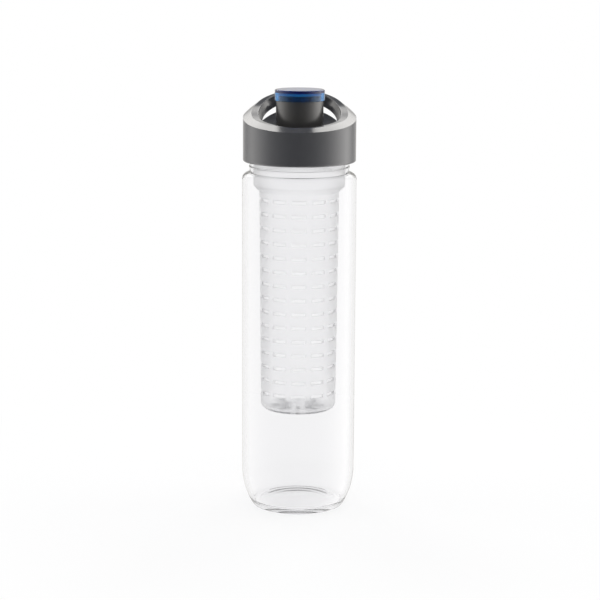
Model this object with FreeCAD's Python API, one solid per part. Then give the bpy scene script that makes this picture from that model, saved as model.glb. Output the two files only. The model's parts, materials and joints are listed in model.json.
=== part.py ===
import FreeCAD, Part
import math
import os

from FreeCAD import Vector

# Fruit infuser water bottle, in millimetres.
# The bottle stands on z = 0 with its axis on Z. The drinking side faces -Y, the carry loop is at +Y.

# Clearances
cut_overrun = 2.0        # how far a cutter runs past the face that it opens
fit_gap = 0.15           # between pieces that are fixed to each other
run_gap = 0.3            # between pieces that move past each other

# Bottle
body_radius = 35.0
body_wall = 2.0
shoulder_height = 204.8  # where the straight wall ends
shoulder_flat = 0.6      # level ring between the shoulder's curve and the neck
base_height = 24.0       # where the wall starts to draw in towards the foot
base_inset = 7.0         # how far it has drawn in at the foot
foot_round = 1.5
foot_width = 2.5         # flat ring that the bottle stands on
floor_thickness = 3.0
push_up = 3.0            # rise of the domed underside
neck_step = 4.6          # neck's outside, in from the wall
neck_wall = 2.0
neck_height = 23.5       # lip above the end of the straight wall
neck_foot_round = 0.5
lip_round = 0.6

# Lid
skirt_height = 12.8      # lid's lower edge below the bottle's lip
skirt_round = 1.2
shell_wall = 1.55
inner_cap_wall = 1.3
inner_cap_recess = 1.0   # inner cap's lower edge above the shell's
thread_gap = 1.1         # room for the threads between neck and inner cap
gasket_thickness = 2.0
gasket_overhang = 0.4    # gasket's inside, in from the neck's bore
roof_thickness = 2.0
rib_wall = 0.8           # ring that keeps the gasket in place
rib_height = 1.6
socket_wall = 1.5        # skirt that the infuser screws onto
socket_depth = 11.0
socket_thread_gap = 0.9

# Rim, well and carry loop, with heights above the deck
rim_turn_shares = (0.0, 0.22, 0.39, 0.5, 0.61, 0.72, 0.83, 1.0)  # of half a turn, from its front
ridge_rises = (2.7, 4.0, 6.3, 9.4, 12.5, 16.2, 18.9, 20.6)  # ridge of the rim at each place
edge_rises = (0.1, 1.3, 3.9, 6.4, 8.9, 13.0, 16.3, 18.1)    # bevel's outer edge at each place
ring_width = 5.7         # ring round the well, at its front and back
bevel_width = 5.0        # outward bevel on the ring
side_land = 3.8          # how much wider the ring is at its sides
rim_round = 0.5
deck_thickness = 1.7
deck_flat_end = 14.0     # in front of the bottle's axis, where the deck starts to rise
deck_rise = 10.0         # at the back of the drum
drum_wall = 1.9
finger_slot = 4.3        # between the drum and the loop
window_half_width = 23.0
window_spring = 2.3      # straight sides of the window under the arch
arch_rise = 11.0
window_round = 0.8

# Spout
spout_offset = 3.0       # spout's axis, in front of the bottle's
spout_wall = 3.4
spout_height = 16.75     # spout's shoulder above the deck
mouth_wall = 1.8         # drinking lip
mouth_height = 3.3       # lip above the shoulder
mouth_round = 0.5
flange_gap = 1.6         # between the flange and the drum's wall
flange_width = 3.6
flange_thickness = 2.0
boss_wall = 2.2          # ring under the deck that holds the flange down
seal_inset = 0.6         # seal's groove, in from the flange's edge
seal_width = 2.0
seal_thickness = 1.0

# Flip cap and its hinge
cap_wall = 1.8
cap_lip_gap = 0.6        # between the drinking lip and the cap's wall
cap_top_thickness = 2.0
cap_round = 0.9
tab_width = 15.0         # thumb tab
tab_height = 2.4
tab_reach = 1.3
disc_thickness = 1.5     # silicone disc in the cap
plug_depth = 2.3
plug_gap = 0.4
plug_taper = 0.8
plug_wall = 2.3
plug_recess_depth = 1.4
pin_radius = 1.0
pin_drop = 0.2           # pin above the cap's lower edge
knuckle_radius = 2.2
knuckle_length = 8.4
knuckle_reach = 2.6      # pin's axis behind the cap's wall
ear_width = 2.5
ear_root_drop = 6.5      # ear's lower end under the spout's shoulder
ear_sink = 1.2           # how far an ear runs into the spout's wall

# Infuser
collar_gap = 1.8         # between the neck's bore and the collar
collar_drop = 26.8       # collar's lower edge below the bottle's lip
collar_round = 0.6
ledge_height = 3.5
tube_step = 3.7          # tube's outside, in from the collar's
tube_taper = 1.2
infuser_wall = 1.5
infuser_bottom_share = 0.3076  # infuser's foot, of the height of the straight wall's end
infuser_floor = 1.6
infuser_round = 1.2
infuser_gasket_thickness = 1.4
infuser_gasket_inset = 0.1
slot_rows = 15
slot_columns = 12
slot_share = 0.72        # slot's width, of a column's
slot_height = 2.2
slot_top_drop = 5.1      # first row under the foot of the ledge
slot_bottom_rise = 10.0  # last row above the infuser's foot
drain_count = 8
drain_width = 2.2
drain_shares = (0.35, 0.79)  # ends of a drain slot, of the tube's inside

# Radii from the bottle's axis outwards
shoulder_round = neck_step - shoulder_flat
neck_radius = body_radius - neck_step
neck_bore = neck_radius - neck_wall
inner_cap_bore = neck_radius + thread_gap
inner_cap_radius = inner_cap_bore + inner_cap_wall
shell_bore = inner_cap_radius + fit_gap
lid_radius = shell_bore + shell_wall
ridge_radius = lid_radius - bevel_width
well_half_length = lid_radius - ring_width
well_half_width = well_half_length - side_land
drum_radius = well_half_length - finger_slot
collar_radius = neck_bore - collar_gap
collar_bore = collar_radius - infuser_wall
socket_radius = collar_bore - socket_thread_gap
tube_radius = collar_radius - tube_step
tube_end_radius = tube_radius - tube_taper
tube_end_bore = tube_end_radius - infuser_wall

# Heights from the bottle's lip upwards
lip_top = shoulder_height + neck_height
lid_bottom = lip_top - skirt_height
roof_bottom = lip_top + gasket_thickness
roof_top = roof_bottom + roof_thickness
flange_top = roof_top + flange_thickness
deck_top = flange_top + deck_thickness
spout_top = deck_top + spout_height
mouth_top = spout_top + mouth_height
disc_top = mouth_top + disc_thickness
cap_top = disc_top + cap_top_thickness
cap_bottom = spout_top + run_gap
lid_ceiling = deck_top + max(ridge_rises) + cut_overrun
infuser_bottom = infuser_bottom_share * shoulder_height

# Places of the spout, its cap and its hinge
spout_center = Vector(0, -spout_offset, 0)
flange_radius = drum_radius - drum_wall - spout_offset - flange_gap
spout_radius = flange_radius - flange_width
spout_bore = spout_radius - spout_wall
mouth_radius = spout_bore + mouth_wall
cap_bore = mouth_radius + cap_lip_gap
cap_radius = cap_bore + cap_wall
hinge_y = cap_radius - spout_offset + knuckle_reach
hinge_z = cap_bottom + pin_drop


def cylinder(radius, bottom, top, center=Vector(0, 0, 0)):
    """Upright cylinder between two heights."""
    return Part.makeCylinder(radius, top - bottom, center + Vector(0, 0, bottom))


def ring(outer, inner, bottom, top, center=Vector(0, 0, 0)):
    """Upright ring with a square section."""
    return cylinder(outer, bottom, top, center).cut(cylinder(inner, bottom, top, center))


def line(start, end):
    return Part.LineSegment(start, end).toShape()


def arc(start, middle, end):
    return Part.Arc(start, middle, end).toShape()


def at(radius, height):
    """Point of a section that is turned about Z."""
    return Vector(radius, 0, height)


def turned(edges, center=Vector(0, 0, 0)):
    """Solid turned from a closed section in the XZ plane."""
    face = Part.Face(Part.Wire(edges))
    solid = face.revolve(Vector(0, 0, 0), Vector(0, 0, 1), 360)
    solid.translate(center)
    return solid


def closed(points):
    """Straight edges through the points and back to the first."""
    return [line(a, b) for a, b in zip(points, points[1:] + points[:1])]


def pushed(edges, direction):
    """Prism over a closed outline."""
    return Part.Face(Part.Wire(edges)).extrude(direction)


def rounded(solid, radius, wanted):
    """Fillet on the edges that the test picks."""
    return solid.makeFillet(radius, [edge for edge in solid.Edges if wanted(edge)])


def circle_at(radius, height, center=Vector(0, 0, 0)):
    """Test for the level circle of a given radius and height."""
    near = fit_gap / 2

    def wanted(edge):
        if edge.Degenerated or not isinstance(edge.Curve, Part.Circle):
            return False
        curve = edge.Curve
        off_axis = (curve.Center - center - Vector(0, 0, height)).Length
        return abs(curve.Radius - radius) < near and off_axis < near

    return wanted


def middle_of(edge):
    return edge.valueAt((edge.FirstParameter + edge.LastParameter) / 2)


def drawn_in_arc(start_radius, start_height, turn_radius, end_radius, end_height):
    """Arc that leaves an upright wall and bends towards the axis, up or down."""
    side = math.copysign(1, end_height - start_height)
    middle_radius = start_radius - turn_radius
    half_turn = math.acos((end_radius - middle_radius) / turn_radius) / 2
    middle = at(middle_radius + turn_radius * math.cos(half_turn),
                start_height + side * turn_radius * math.sin(half_turn))
    return arc(at(start_radius, start_height), middle, at(end_radius, end_height))


def make_bottle_body():
    """Clear bottle: drawn-in foot, straight wall, rounded shoulder and plain neck."""
    base_turn = (base_height ** 2 + base_inset ** 2) / (2 * base_inset)
    base_middle = body_radius - base_turn
    shoulder_middle = body_radius - shoulder_round
    shoulder_top = shoulder_height + shoulder_round
    base_radius = body_radius - base_inset
    foot_inner = base_radius - foot_round - foot_width
    bore = body_radius - body_wall
    inner_base_turn = base_turn - body_wall
    inner_shoulder_turn = shoulder_round - body_wall
    floor_radius = base_middle + math.sqrt(inner_base_turn ** 2 - (base_height - floor_thickness) ** 2)
    inner_shoulder_top = shoulder_height + inner_shoulder_turn

    def dome(radius, height):
        """Rising arc from a ring to the axis."""
        turn = (radius ** 2 + push_up ** 2) / (2 * push_up)
        half = radius / 2
        sink = math.sqrt(turn ** 2 - half ** 2) - turn
        return arc(at(radius, height), at(half, height + push_up + sink), at(0, height + push_up))

    edges = [
        dome(foot_inner, 0),
        line(at(foot_inner, 0), at(base_radius, 0)),
        drawn_in_arc(body_radius, base_height, base_turn, base_radius, 0),
        line(at(body_radius, base_height), at(body_radius, shoulder_height)),
        drawn_in_arc(body_radius, shoulder_height, shoulder_round, shoulder_middle, shoulder_top),
        line(at(shoulder_middle, shoulder_top), at(neck_radius, shoulder_top)),
        line(at(neck_radius, shoulder_top), at(neck_radius, lip_top)),
        line(at(neck_radius, lip_top), at(neck_bore, lip_top)),
        line(at(neck_bore, lip_top), at(neck_bore, inner_shoulder_top)),
        line(at(neck_bore, inner_shoulder_top), at(shoulder_middle, inner_shoulder_top)),
        drawn_in_arc(bore, shoulder_height, inner_shoulder_turn, shoulder_middle, inner_shoulder_top),
        line(at(bore, shoulder_height), at(bore, base_height)),
        drawn_in_arc(bore, base_height, inner_base_turn, floor_radius, floor_thickness),
        dome(floor_radius, floor_thickness),
        line(at(0, floor_thickness + push_up), at(0, push_up)),
    ]
    body = turned(Part.__sortEdges__(edges))
    body = rounded(body, foot_round, circle_at(base_radius, 0))
    body = rounded(body, neck_foot_round, circle_at(neck_radius, shoulder_top))
    return rounded(body, lip_round, circle_at(neck_radius, lip_top))


def rim_places(radius):
    """X and Y of the places on the rim, from its front round the right side to its back."""
    angles = [share * math.pi for share in rim_turn_shares]
    return [(radius * math.sin(angle), -radius * math.cos(angle)) for angle in angles]


def rim_loop(radius, heights):
    """Closed curve round the lid through a height at each place, the same on both sides."""
    right = [Vector(x, y, height) for (x, y), height in zip(rim_places(radius), heights)]
    left = [Vector(-point.x, point.y, point.z) for point in reversed(right[1:-1])]
    loop = Part.BSplineCurve()
    loop.interpolate(Points=right + left, PeriodicFlag=True)
    return Part.Wire(loop.toShape())


def bevel_body():
    """Everything under the bevel, which runs straight from the rim's ridge to its outer edge."""
    outside = lid_radius + cut_overrun
    inside = ridge_radius - cut_overrun
    loops = [rim_loop(outside, [lid_bottom - cut_overrun for share in rim_turn_shares])]
    for radius in (outside, inside):
        run = (radius - ridge_radius) / bevel_width
        rises = [ridge + run * (edge - ridge) for ridge, edge in zip(ridge_rises, edge_rises)]
        loops.append(rim_loop(radius, [deck_top + rise for rise in rises]))
    loops.append(rim_loop(inside, [lid_ceiling + bevel_width for share in rim_turn_shares]))
    return Part.makeLoft(loops, True, True)


def swoop_prism():
    """Everything above the rim's ridge, which climbs from the front of the lid to its back."""
    reach = lid_radius + cut_overrun
    side = -reach
    ridge = [Vector(side, y, deck_top + rise) for (x, y), rise in zip(rim_places(ridge_radius), ridge_rises)]
    front_step = ridge[0] - ridge[1]
    back_step = ridge[-1] - ridge[-2]
    front_end = ridge[0] + front_step * ((reach - ridge_radius) / abs(front_step.y))
    back_end = ridge[-1] + back_step * ((reach - ridge_radius) / abs(back_step.y))
    swoop = Part.BSplineCurve()
    swoop.interpolate([front_end, *ridge, back_end])
    ceiling = back_end.z + cut_overrun
    edges = [
        swoop.toShape(),
        line(back_end, Vector(side, reach, ceiling)),
        line(Vector(side, reach, ceiling), Vector(side, -reach, ceiling)),
        line(Vector(side, -reach, ceiling), front_end),
    ]
    return pushed(edges, Vector(2 * reach, 0, 0))


def well_prism(bottom, top):
    """Oval space inside the rim, longer from front to back than from side to side."""
    back = Vector(0, well_half_length, bottom)
    side = Vector(well_half_width, 0, bottom)
    oval = Part.Ellipse(back, side, Vector(0, 0, bottom))
    return pushed([oval.toShape()], Vector(0, 0, top - bottom))


def deck_prism(level):
    """Everything above a deck that is level in front and rises behind the spout."""
    reach = lid_radius + cut_overrun
    side = -reach
    run = deck_flat_end + drum_radius
    turn = (run ** 2 + deck_rise ** 2) / (2 * deck_rise)
    half_turn = math.atan(deck_rise / run)
    bend_start = Vector(side, -deck_flat_end, level)
    bend_middle = bend_start + Vector(0, turn * math.sin(half_turn), turn * (1 - math.cos(half_turn)))
    bend_end = Vector(side, drum_radius, level + deck_rise)
    ceiling = lid_ceiling + deck_rise
    edges = [
        line(Vector(side, -reach, level), bend_start),
        arc(bend_start, bend_middle, bend_end),
        line(bend_end, Vector(side, reach, level + deck_rise)),
        line(Vector(side, reach, level + deck_rise), Vector(side, reach, ceiling)),
        line(Vector(side, reach, ceiling), Vector(side, -reach, ceiling)),
        line(Vector(side, -reach, ceiling), Vector(side, -reach, level)),
    ]
    return pushed(edges, Vector(2 * reach, 0, 0))


def window_cutter():
    """Space under the carry loop: an arch through the back wall, and a slot round the drum."""
    reach = lid_radius + cut_overrun
    spring = deck_top + window_spring
    arch = Part.Arc(Part.Ellipse(Vector(0, 0, 0), window_half_width, arch_rise), 0, math.pi).toShape()
    arch.rotate(Vector(0, 0, 0), Vector(1, 0, 0), 90)
    arch.translate(Vector(0, 0, spring))
    left = -window_half_width
    right = window_half_width
    edges = [
        arch,
        line(Vector(left, 0, spring), Vector(left, 0, deck_top)),
        line(Vector(left, 0, deck_top), Vector(right, 0, deck_top)),
        line(Vector(right, 0, deck_top), Vector(right, 0, spring)),
    ]
    window = pushed(Part.__sortEdges__(edges), Vector(0, reach, 0))
    corner = Vector(left, 0, deck_top)
    slot = Part.makeBox(2 * window_half_width, reach, lid_ceiling - deck_top, corner)
    slot = slot.common(well_prism(deck_top, lid_ceiling))
    drum = cylinder(drum_radius, deck_top - cut_overrun, lid_ceiling + cut_overrun)
    return window.fuse(slot).cut(drum)


def on_inner_rim(edge):
    """Test for the rim's edge round the well."""
    box = edge.BoundBox
    near_well = max(abs(box.XMin), abs(box.XMax)) < well_half_width + rim_round
    return near_well and box.ZMin > deck_top + min(ridge_rises) - rim_round


def on_window(edge):
    """Test for the edges of the window in the lid's outer wall."""
    if edge.Degenerated:
        return False
    middle = middle_of(edge)
    outside = abs(math.hypot(middle.x, middle.y) - lid_radius) < fit_gap
    level = deck_top - fit_gap < middle.z < deck_top + window_spring + arch_rise + fit_gap
    return outside and level and middle.y > 0 and abs(middle.x) < window_half_width + fit_gap


def make_lid_shell():
    """Grey outer lid: skirt, bevelled rim that climbs to the back, well, drum and carry loop."""
    shell = cylinder(lid_radius, lid_bottom, lid_ceiling).common(bevel_body())
    shell = shell.cut(swoop_prism())
    shell = rounded(shell, skirt_round, circle_at(lid_radius, lid_bottom))

    well = well_prism(deck_top - cut_overrun, lid_ceiling + deck_rise).common(deck_prism(deck_top))
    shell = rounded(shell.cut(well), rim_round, on_inner_rim)
    shell = rounded(shell.cut(window_cutter()), window_round, on_window)

    skirt_space = cylinder(shell_bore, lid_bottom - cut_overrun, roof_top)
    drum_space = cylinder(drum_radius - drum_wall, lid_bottom, lid_ceiling).cut(deck_prism(flange_top))
    boss = ring(spout_radius + fit_gap + boss_wall, spout_radius, flange_top, lid_ceiling, spout_center)
    shell = shell.cut(skirt_space)
    shell = shell.cut(drum_space.cut(boss))
    return shell.cut(cylinder(spout_radius + fit_gap, roof_top, lid_ceiling, spout_center)).removeSplitter()


def make_inner_cap():
    """Cap under the shell: threaded skirt, roof, gasket rib and the infuser's socket."""
    cap = cylinder(inner_cap_radius, lid_bottom + inner_cap_recess, roof_top)
    cap = cap.cut(cylinder(inner_cap_bore, lid_bottom, roof_bottom))
    rib_outer = neck_bore - gasket_overhang - fit_gap
    cap = cap.fuse(ring(rib_outer, rib_outer - rib_wall, roof_bottom - rib_height, roof_bottom))
    cap = cap.fuse(ring(socket_radius, socket_radius - socket_wall, roof_bottom - socket_depth, roof_bottom))
    return cap.cut(cylinder(spout_bore, roof_bottom - cut_overrun, roof_top + cut_overrun, spout_center))


def make_lid_gasket():
    """Silicone ring between the bottle's lip and the lid's roof."""
    return ring(inner_cap_bore - run_gap, neck_bore - gasket_overhang, lip_top, roof_bottom)


def seal_radii():
    """Outside and inside of the spout's seal."""
    outer = flange_radius - seal_inset
    return outer, outer - seal_width


def make_spout():
    """Drinking spout: flange, tube, drinking lip and the two ears of the cap's hinge."""
    spout = turned(closed([
        at(spout_bore, roof_top),
        at(flange_radius, roof_top),
        at(flange_radius, flange_top),
        at(spout_radius, flange_top),
        at(spout_radius, spout_top),
        at(mouth_radius, spout_top),
        at(mouth_radius, mouth_top),
        at(spout_bore, mouth_top),
    ]), spout_center)
    spout = rounded(spout, mouth_round, circle_at(mouth_radius, mouth_top, spout_center))
    seal_outer, seal_inner = seal_radii()
    groove_top = roof_top + seal_thickness
    groove = ring(seal_outer + fit_gap, seal_inner - fit_gap, roof_top, groove_top, spout_center)
    spout = spout.cut(groove)

    back = spout_radius - spout_offset
    inside = knuckle_length / 2 + run_gap
    ear_foot = spout_top - ear_root_drop
    ear_head = spout_top - knuckle_radius / 2
    root = [
        Vector(0, -spout_offset, ear_foot),
        Vector(0, back - ear_sink, ear_foot),
        Vector(0, hinge_y + knuckle_radius, hinge_z),
        Vector(0, hinge_y - knuckle_radius, hinge_z),
        Vector(0, back - ear_sink, ear_head),
        Vector(0, -spout_offset, ear_head),
    ]
    along = Vector(ear_width, 0, 0)
    web = pushed(closed(root), along)
    pivot = Vector(0, hinge_y, hinge_z)
    ear = web.fuse(Part.makeCylinder(knuckle_radius, ear_width, pivot, Vector(1, 0, 0)))
    for start in (inside, -inside - ear_width):
        placed = ear.copy()
        placed.translate(Vector(start, 0, 0))
        spout = spout.fuse(placed)
    spout = spout.cut(cylinder(spout_bore, roof_top - cut_overrun, mouth_top + cut_overrun, spout_center))
    pin_run = 2 * (inside + ear_width + cut_overrun)
    pin_start = pivot - Vector(pin_run / 2, 0, 0)
    bore = Part.makeCylinder(pin_radius + fit_gap, pin_run, pin_start, Vector(1, 0, 0))
    return spout.cut(bore).removeSplitter()


def make_spout_seal():
    """Silicone ring in the groove under the spout's flange."""
    seal_outer, seal_inner = seal_radii()
    return ring(seal_outer, seal_inner, roof_top, roof_top + seal_thickness, spout_center)


def make_flip_cap():
    """Blue flip cap: round cap with a thumb tab in front and a hinge knuckle behind."""
    cap = cylinder(cap_radius, cap_bottom, cap_top, spout_center)
    cap = rounded(cap, cap_round, circle_at(cap_radius, cap_top, spout_center))
    tab = ring(cap_radius + tab_reach, cap_bore, cap_bottom, cap_bottom + tab_height, spout_center)
    tab_front = Vector(-tab_width / 2, -spout_offset - cap_radius - tab_reach - cut_overrun, cap_bottom)
    tab = tab.common(Part.makeBox(tab_width, cap_radius, tab_height, tab_front))
    knuckle_start = Vector(-knuckle_length / 2, hinge_y, hinge_z)
    knuckle = Part.makeCylinder(knuckle_radius, knuckle_length, knuckle_start, Vector(1, 0, 0))
    bridge_start = Vector(-knuckle_length / 2, hinge_y - knuckle_reach - cap_wall, cap_bottom)
    bridge = Part.makeBox(knuckle_length, knuckle_reach + cap_wall, knuckle_radius + pin_drop, bridge_start)
    cap = cap.fuse([tab, bridge, knuckle])
    cap = cap.cut(cylinder(cap_bore, cap_bottom - cut_overrun, disc_top, spout_center))
    pin_start = knuckle_start - Vector(cut_overrun, 0, 0)
    pin_run = knuckle_length + 2 * cut_overrun
    pin_space = Part.makeCylinder(pin_radius + run_gap / 2, pin_run, pin_start, Vector(1, 0, 0))
    return cap.cut(pin_space).removeSplitter()


def make_cap_seal():
    """Silicone disc in the cap, with a tapered plug that enters the spout."""
    disc_radius = cap_bore - fit_gap
    plug_radius = spout_bore - plug_gap
    plug_end_radius = plug_radius - plug_taper
    recess_radius = plug_end_radius - plug_wall
    plug_bottom = mouth_top - plug_depth
    return turned(closed([
        at(0, disc_top),
        at(disc_radius, disc_top),
        at(disc_radius, mouth_top),
        at(plug_radius, mouth_top),
        at(plug_end_radius, plug_bottom),
        at(recess_radius, plug_bottom),
        at(recess_radius, plug_bottom + plug_recess_depth),
        at(0, plug_bottom + plug_recess_depth),
    ]), spout_center)


def make_hinge_pin():
    """Steel pin through the ears and the knuckle."""
    half = knuckle_length / 2 + run_gap + ear_width
    return Part.makeCylinder(pin_radius, 2 * half, Vector(-half, hinge_y, hinge_z), Vector(1, 0, 0))


def make_infuser_basket():
    """Clear fruit basket: screw collar, ledge, and a tapered tube with rows of slots."""
    collar_top = roof_bottom - infuser_gasket_thickness
    collar_bottom = lip_top - collar_drop
    tube_top = collar_bottom - ledge_height
    basket = turned(closed([
        at(0, infuser_bottom),
        at(tube_end_radius, infuser_bottom),
        at(tube_radius, tube_top),
        at(collar_radius, collar_bottom),
        at(collar_radius, collar_top),
        at(collar_bore, collar_top),
        at(collar_bore, collar_bottom),
        at(tube_radius - infuser_wall, tube_top),
        at(tube_end_bore, infuser_bottom + infuser_floor),
        at(0, infuser_bottom + infuser_floor),
    ]))
    basket = rounded(basket, infuser_round, circle_at(tube_end_radius, infuser_bottom))
    basket = rounded(basket, collar_round, circle_at(collar_radius, collar_bottom))

    cutters = []
    slot_width = slot_share * 2 * math.pi * tube_end_radius / slot_columns
    slot_top = tube_top - slot_top_drop
    slot_pitch = (slot_top - infuser_bottom - slot_bottom_rise) / (slot_rows - 1)
    slot_inner = tube_end_bore - cut_overrun
    slot_reach = tube_radius + cut_overrun - slot_inner
    for row in range(slot_rows):
        level = slot_top - row * slot_pitch
        corner = Vector(slot_inner, -slot_width / 2, level - slot_height / 2)
        for column in range(slot_columns):
            slot = Part.makeBox(slot_reach, slot_width, slot_height, corner)
            slot.rotate(Vector(0, 0, 0), Vector(0, 0, 1), 360 * column / slot_columns)
            cutters.append(slot)
    drain_inner, drain_outer = [share * tube_end_bore for share in drain_shares]
    for index in range(drain_count):
        corner = Vector(drain_inner, -drain_width / 2, infuser_bottom - cut_overrun)
        drain = Part.makeBox(drain_outer - drain_inner, drain_width, infuser_floor + 2 * cut_overrun, corner)
        drain.rotate(Vector(0, 0, 0), Vector(0, 0, 1), 360 * index / drain_count)
        cutters.append(drain)
    return basket.cut(Part.makeCompound(cutters))


def make_infuser_gasket():
    """Silicone ring between the infuser's collar and the lid's roof."""
    bottom = roof_bottom - infuser_gasket_thickness
    return ring(collar_radius, collar_bore - infuser_gasket_inset, bottom, roof_bottom)


pieces = {
    "bottle_body": make_bottle_body,
    "lid_shell": make_lid_shell,
    "inner_cap": make_inner_cap,
    "lid_gasket": make_lid_gasket,
    "spout": make_spout,
    "spout_seal": make_spout_seal,
    "flip_cap": make_flip_cap,
    "cap_seal": make_cap_seal,
    "hinge_pin": make_hinge_pin,
    "infuser_basket": make_infuser_basket,
    "infuser_gasket": make_infuser_gasket,
}

os.makedirs("parts", exist_ok=True)
for node, make in pieces.items():
    shape = make()
    shape.exportStep("parts/" + node + ".step")
    print(node, len(shape.Solids), shape.isValid(), round(shape.Volume / 1000, 2), "ml", shape.BoundBox)
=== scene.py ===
# %% [markdown]
# # A fruit infuser water bottle
# The bottle is a clear moulded body with a slotted fruit basket inside it, under a grey screw lid with a
# carry loop, a spout and a blue flip cap. The solids come packed, in metres, in one shared frame. This
# lesson dresses them: it adds the fine forms that the solids leave out, gives every piece its finish, and
# lights the whole as in a small studio.

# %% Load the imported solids
import json
import math

import bmesh
import bpy
from mathutils import Matrix, Vector

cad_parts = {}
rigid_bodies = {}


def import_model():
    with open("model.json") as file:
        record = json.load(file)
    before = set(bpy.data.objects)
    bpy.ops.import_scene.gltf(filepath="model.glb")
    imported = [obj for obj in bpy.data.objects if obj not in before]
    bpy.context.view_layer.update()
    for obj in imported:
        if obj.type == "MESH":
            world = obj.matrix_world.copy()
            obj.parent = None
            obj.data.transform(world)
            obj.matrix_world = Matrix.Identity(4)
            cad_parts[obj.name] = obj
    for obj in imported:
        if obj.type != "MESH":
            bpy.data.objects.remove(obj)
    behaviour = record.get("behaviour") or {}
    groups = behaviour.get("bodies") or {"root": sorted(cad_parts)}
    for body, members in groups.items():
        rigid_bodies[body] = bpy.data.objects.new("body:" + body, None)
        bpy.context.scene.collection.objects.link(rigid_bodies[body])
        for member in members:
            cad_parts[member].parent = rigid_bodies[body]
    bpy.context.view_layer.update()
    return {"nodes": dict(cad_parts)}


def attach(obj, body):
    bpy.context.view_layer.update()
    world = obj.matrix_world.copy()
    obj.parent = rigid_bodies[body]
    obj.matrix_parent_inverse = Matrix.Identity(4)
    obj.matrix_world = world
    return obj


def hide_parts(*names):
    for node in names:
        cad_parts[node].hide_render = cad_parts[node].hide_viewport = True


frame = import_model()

mm = 0.001
scene = bpy.context.scene
nodes = frame["nodes"]


print("solids:", sorted(nodes))

# %% [markdown]
# ## The camera
# A product picture is taken with a long lens, so that upright edges stay nearly parallel. Solving the
# ellipses of the lid, the shoulder and the foot gives the eye 1.18 m in front of the bottle and 10.6 degrees
# above its middle. The bottle leans a third of a degree in the frame, which is a small roll of the camera
# and not a tilt of the bottle.

# %% Set the camera
EYE = Vector((0.83, -1183.0, 350.5)) * mm
LOOK_DOWN = math.radians(10.59)
ROLL = math.radians(0.33)
FOCAL_PIXELS = 1946.0
FRAME_PIXELS = 600.0
SENSOR_WIDTH = 36.0
NEAR_CLIP = 0.01

camera_data = bpy.data.cameras.new("camera")
camera_data.sensor_fit = "HORIZONTAL"
camera_data.sensor_width = SENSOR_WIDTH
camera_data.lens = SENSOR_WIDTH * FOCAL_PIXELS / FRAME_PIXELS
camera_data.clip_start = NEAR_CLIP
camera = bpy.data.objects.new("camera", camera_data)
aimed = Matrix.Rotation(math.radians(90) - LOOK_DOWN, 4, "X") @ Matrix.Rotation(ROLL, 4, "Z")
camera.matrix_world = Matrix.Translation(EYE) @ aimed
scene.collection.objects.link(camera)
scene.camera = camera
print("lens in mm:", round(camera_data.lens, 1))

# %% [markdown]
# ## Nodes written as sums
# Both the finishes and the forms below are node trees. Wiring them by hand is long, so two small classes
# help. A Plan is one tree and has one way to add a node. A Wire is a socket that knows Python's operators,
# so that 1 - mask adds a Math node that takes the mask from one.

# %% Plan and Wire
class Wire:
    """An output socket whose operators add Math nodes to its tree."""

    def __init__(self, plan, socket):
        self.plan = plan
        self.socket = socket

    def out(self, name):
        """Another output of the same node."""
        return Wire(self.plan, self.socket.node.outputs[name])

    def __add__(self, other):
        return self.plan.math("ADD", self, other)

    __radd__ = __add__

    def __mul__(self, other):
        return self.plan.math("MULTIPLY", self, other)

    __rmul__ = __mul__

    def __sub__(self, other):
        return self.plan.math("SUBTRACT", self, other)

    def __rsub__(self, other):
        return self.plan.math("SUBTRACT", other, self)

    def __truediv__(self, other):
        return self.plan.math("DIVIDE", self, other)

    def __mod__(self, other):
        return self.plan.math("FLOORED_MODULO", self, other)

    def __lt__(self, other):
        return self.plan.math("LESS_THAN", self, other)

    def __gt__(self, other):
        return self.plan.math("GREATER_THAN", self, other)

    def __abs__(self):
        return self.plan.math("ABSOLUTE", self)


class Plan:
    """A node tree and the one way that nodes are added to it."""

    def __init__(self, tree):
        self.tree = tree

    def feed(self, socket, value):
        """Links a wire to an input, or sets the input's own value."""
        if isinstance(value, Wire):
            self.tree.links.new(value.socket, socket)
        else:
            socket.default_value = value

    def add(self, kind, settings=None, sockets=None, out=0):
        """A node of one kind: its settings first, then what its inputs get."""
        node = self.tree.nodes.new(kind)
        for name, value in (settings or {}).items():
            setattr(node, name, value)
        for key, value in (sockets or {}).items():
            self.feed(node.inputs[key], value)
        return Wire(self, node.outputs[out]) if node.outputs else node

    def math(self, operation, *values):
        """A Math node on values and wires."""
        return self.add("ShaderNodeMath", {"operation": operation}, dict(enumerate(values)))

    def mix(self, factor, first, second):
        """Two colours mixed by a factor."""
        return self.add("ShaderNodeMix", {"data_type": "RGBA"}, {0: factor, 6: first, 7: second}, out=2)


print("node helpers ready")

# %% [markdown]
# ## Satin grey plastic
# The lid is injection-moulded plastic with a fine spark-eroded texture from its mould, which makes it satin:
# it spreads highlights but still mirrors a bright lamp at a low angle. Two noises do this. A fine one is the
# texture, as bump and as a little roughness. A coarse one is the faint cloudiness of the coloured plastic
# and of handling.

# %% Helpers for finishes
def new_material(name):
    """An empty material and the plan of its nodes."""
    material = bpy.data.materials.new(name)
    material.use_nodes = True
    material.node_tree.nodes.clear()
    return material, Plan(material.node_tree)


def noise(plan, cells, detail=2.0, stretch=(1, 1, 1)):
    """Noise on object coordinates, in cells to the metre, drawn out along an axis by a stretch under one."""
    place = plan.add("ShaderNodeTexCoord").out("Object")
    place = plan.add("ShaderNodeMapping", sockets={"Vector": place, "Scale": stretch})
    return plan.add("ShaderNodeTexNoise", sockets={"Vector": place, "Scale": cells, "Detail": detail})


def relief(plan, height, strength, depth):
    """Bump that follows a noise, with its depth in metres."""
    return plan.add("ShaderNodeBump", sockets={"Height": height, "Strength": strength, "Distance": depth})


def show(plan, surface):
    """Ends a material's plan with its surface."""
    plan.add("ShaderNodeOutputMaterial", sockets={"Surface": surface})


print("finish helpers ready")

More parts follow.
